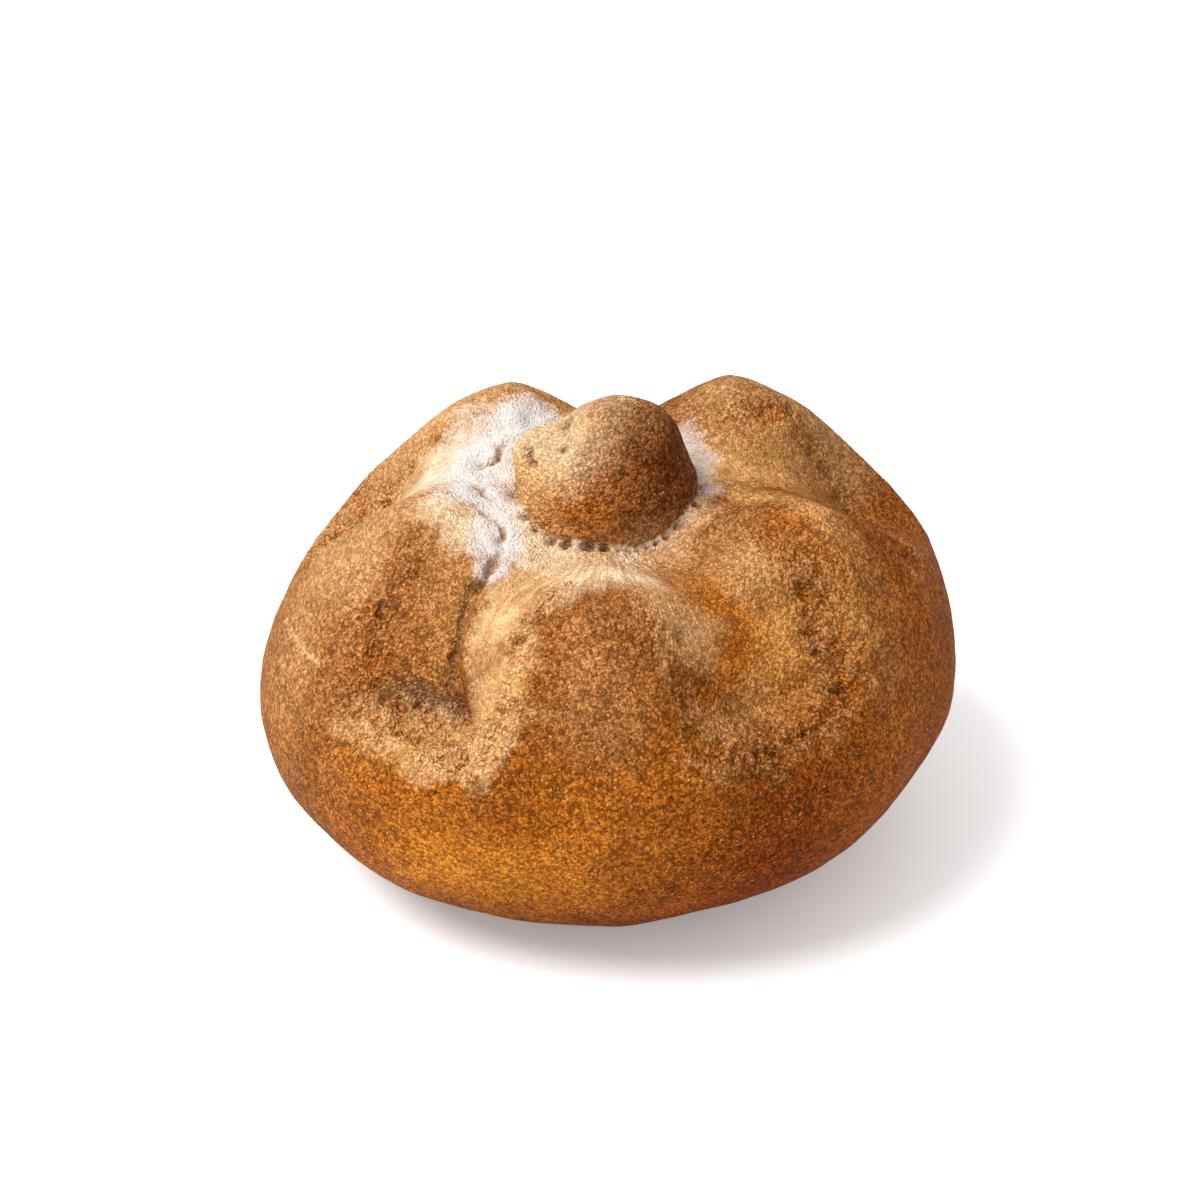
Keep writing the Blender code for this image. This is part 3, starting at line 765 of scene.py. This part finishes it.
def crustMaterial():
    material = bpy.data.materials.new("crust")
    material.use_nodes = True
    nodes, links = material.node_tree.nodes, material.node_tree.links
    shader = nodes["Principled BSDF"]
    look = crustLook

    def put(kind, inputs=None, **settings):
        made = nodes.new(kind)
        for key, value in settings.items():
            setattr(made, key, value)
        for key, value in (inputs or {}).items():
            if isinstance(value, bpy.types.NodeSocket):
                links.new(value, made.inputs[key])
            else:
                made.inputs[key].default_value = value
        return made

    def combine(kind, a, b, c=0.0):
        return put("ShaderNodeMath", {0: a, 1: b, 2: c}, operation=kind).outputs[0]

    def addScaled(value, share, base):
        return combine("MULTIPLY_ADD", value, share, base)

    def vectors(kind, inputs):
        return put("ShaderNodeVectorMath", inputs, operation=kind).outputs[0]

    def ramp(value, low, high, newLow=0.0, newHigh=1.0):
        return put("ShaderNodeMapRange", {0: value, 1: low, 2: high, 3: newLow, 4: newHigh}).outputs[0]

    def tone(kind, factor, a, b):
        made = put("ShaderNodeMix", data_type="RGBA", blend_type=kind, clamp_factor=True)
        for socket, value in zip((0, 6, 7), (factor, a, b)):
            if isinstance(value, bpy.types.NodeSocket):
                links.new(value, made.inputs[socket])
            elif socket == 0:
                made.inputs[socket].default_value = value
            else:
                made.inputs[socket].default_value = (*value, 1)
        return made.outputs[2]

    # darkens the colour where the pattern is low and lightens it where it is high
    def varied(colour, amount, pattern, dark, light):
        return tone("MULTIPLY", amount, colour, tone("MIX", pattern, look[dark], look[light]))

    def grainOf(size, detail, roughness=0.55):
        return put("ShaderNodeTexNoise", {"Vector": place, "Scale": 1 / (size * mm), "Detail": detail,
                                          "Roughness": roughness}).outputs["Fac"]

    def cellsOf(size):
        return put("ShaderNodeTexVoronoi", {"Vector": place, "Scale": 1 / (size * mm)}).outputs

    def channel(colour, index):
        return put("ShaderNodeSeparateColor", {0: colour}).outputs[index]

    def painted(name, output="Fac"):
        return put("ShaderNodeAttribute", attribute_name=name).outputs[output]

    place = put("ShaderNodeTexCoord").outputs["Object"]
    bakeAndPaintedLight, flourPaint = painted("bakeAndPaintedLight", "Color"), painted("flour")
    crag, stretch = painted("crag"), painted("stretch")
    fine = grainOf(look["grain"], 2.0, 0.65)
    coarse = grainOf(look["coarseGrain"], 3.0, 0.6)
    blotch = grainOf(look["blotch"], 4.0, 0.6)
    broad = grainOf(look["broad"], 2.0)
    beads = cellsOf(look["bead"])
    bead = ramp(beads["Distance"], look["beadEdge"], 0.0)
    luck = combine("MULTIPLY", channel(beads["Color"], 1), look["luckShare"])
    grain = addScaled(bead, look["beadShare"], luck)
    grain = addScaled(coarse, look["coarseShare"], grain)
    grain = ramp(addScaled(fine, look["fineShare"], grain), *look["grainRange"])
    calm = combine("MULTIPLY", stretch, look["calm"])
    grain = combine("MULTIPLY", grain, combine("SUBTRACT", 1.0, calm))
    grain = addScaled(calm, look["calmGrain"], grain)
    peaks = combine("POWER", grain, look["grainPeaks"])

    colour = varied(bakeAndPaintedLight, 1.0, ramp(blotch, *look["blotchRange"]), "blotchDark", "blotchLight")
    colour = varied(colour, 1.0, ramp(broad, *look["blotchRange"]), "broadDark", "broadLight")
    colour = varied(colour, ramp(channel(bakeAndPaintedLight, 1), *look["grainFade"]), peaks, "grainDark", "grainLight")

    # streaks of stretched skin, outwards from the middle
    outward = vectors("NORMALIZE", {0: vectors("MULTIPLY", {0: place, 1: (1, 1, 0)})})
    outward = vectors("SCALE", {0: outward, "Scale": look["streakWide"]})
    along = vectors("SCALE", {0: place, "Scale": 1 / (look["streakLong"] * mm)})
    pulled = {"Vector": vectors("ADD", {0: outward, 1: along}), "Scale": 1.0, "Detail": 4.0, "Roughness": 0.6}
    streak = put("ShaderNodeTexNoise", pulled).outputs["Fac"]
    colour = varied(colour, stretch, ramp(streak, *look["streakRange"]), "streakDark", "streakLight")

    # pale specks on some of the cells: partly pale granules, partly painted glints
    specks = cellsOf(look["speck"])
    lucky = ramp(channel(specks["Color"], 0), *look["speckLuck"])
    speck = combine("MULTIPLY", ramp(specks["Distance"], *look["speckEdge"]), lucky)
    colour = tone("MIX", combine("MULTIPLY", speck, look["speckShare"]), colour, look["speckColour"])

    # crumbs paler on top and darker in the gaps: bare crumb partly brightened as a painted highlight, and
    # painted shade in the gaps
    crumbTop = ramp(cellsOf(look["crumb"])["Distance"], *look["crumbEdge"])
    colour = varied(colour, crag, crumbTop, "crumbGap", "crumbTop")
    colour = tone("DARKEN", 1.0, colour, look["brightest"])

    # flour lies on top of everything, patchy and grainy
    powder = addScaled(fine, 0.5, combine("MULTIPLY", coarse, 0.5))
    patchy = addScaled(combine("SUBTRACT", blotch, 0.5), look["flourPatchy"], flourPaint)
    grainy = addScaled(combine("SUBTRACT", powder, 0.5), look["flourGrainy"], patchy)
    flourThin = ramp(flourPaint, 0.0, look["flourThin"])
    flourAmount = combine("MULTIPLY", ramp(grainy, *look["flourRange"]), flourThin)
    flourTone = tone("MIX", ramp(powder, *look["flourShadeRange"]), look["flourShade"], look["flourColour"])
    links.new(tone("MIX", flourAmount, colour, flourTone), shader.inputs["Base Color"])

    rough = ramp(grain, 0.0, 1.0, *look["roughness"])
    rough = put("ShaderNodeMix", {0: flourAmount, 2: rough, 3: look["flourRoughness"]}).outputs[0]
    links.new(rough, shader.inputs["Roughness"])
    shader.inputs["Specular Tint"].default_value = (*look["specularTint"], 1)
    shader.inputs["Specular IOR Level"].default_value = look["specular"]

    height = addScaled(bead, look["beadHeight"], combine("MULTIPLY", fine, look["fineHeight"]))
    height = addScaled(coarse, look["coarseHeight"], height)
    height = addScaled(speck, look["speckHeight"], height)
    height = addScaled(combine("MULTIPLY", crag, crumbTop), look["crumbHeight"], height)
    height = combine("MULTIPLY", height, ramp(flourAmount, 0.0, 1.0, 1.0, look["flourHeight"]))
    bump = put("ShaderNodeBump", {"Height": height, "Distance": look["bump"] * mm, "Strength": 1.0})
    links.new(bump.outputs["Normal"], shader.inputs["Normal"])
    print("crust material:", len(nodes), "nodes")
    return material


roll = buildRoll()
roll.data.materials.clear()
roll.data.materials.append(crustMaterial())
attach(roll, "root")
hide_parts("bread_roll")

studio = {
    "floorSize": 3, "paper": 0.92, "paperGlow": 0.22, "sky": 0.82,
    "lampPlace": (-0.42, -0.16, 0.74), "lampAim": (0, 0, 0.04), "lampSize": 0.6, "lampPower": 10.4,
}
view = {"elevation": 33.0, "distance": 0.603, "lens": 120.0, "aim": (-1.2, 0, 38.4)}


def turnedTo(made, target):
    made.rotation_euler = (Vector(target) - made.location).to_track_quat("-Z", "Y").to_euler()


def paperFloor():
    shape = bmesh.new()
    bmesh.ops.create_grid(shape, size=studio["floorSize"])
    floor = linked("floor", meshFrom(shape, "floor"))
    paper = bpy.data.materials.new("paper")
    paper.use_nodes = True
    shader = paper.node_tree.nodes["Principled BSDF"]
    shader.inputs["Base Color"].default_value = (studio["paper"], studio["paper"], studio["paper"], 1)
    shader.inputs["Emission Color"].default_value = (1, 1, 1, 1)
    shader.inputs["Emission Strength"].default_value = studio["paperGlow"]
    floor.data.materials.append(paper)
    return floor


def lightStudio():
    world = bpy.data.worlds.new("studio")
    world.use_nodes = True
    background = world.node_tree.nodes["Background"]
    background.inputs["Color"].default_value = (1, 1, 1, 1)
    background.inputs["Strength"].default_value = studio["sky"]
    bpy.context.scene.world = world
    key = bpy.data.lights.new("key", "AREA")
    key.shape = "DISK"
    key.size = studio["lampSize"]
    key.energy = studio["lampPower"]
    lamp = linked("key", key)
    lamp.location = studio["lampPlace"]
    turnedTo(lamp, studio["lampAim"])


def placeCamera():
    cameraData = bpy.data.cameras.new("camera")
    cameraData.lens = view["lens"]
    camera = linked("camera", cameraData)
    aim = Vector(view["aim"]) * mm
    tilt = math.radians(view["elevation"])
    camera.location = aim + Vector((0, -math.cos(tilt), math.sin(tilt))) * view["distance"]
    turnedTo(camera, aim)
    return camera


floor = paperFloor()
lightStudio()
print("floor and light are set")
bpy.context.scene.camera = placeCamera()
bpy.context.scene.view_settings.view_transform = "Standard"
print("camera is set")
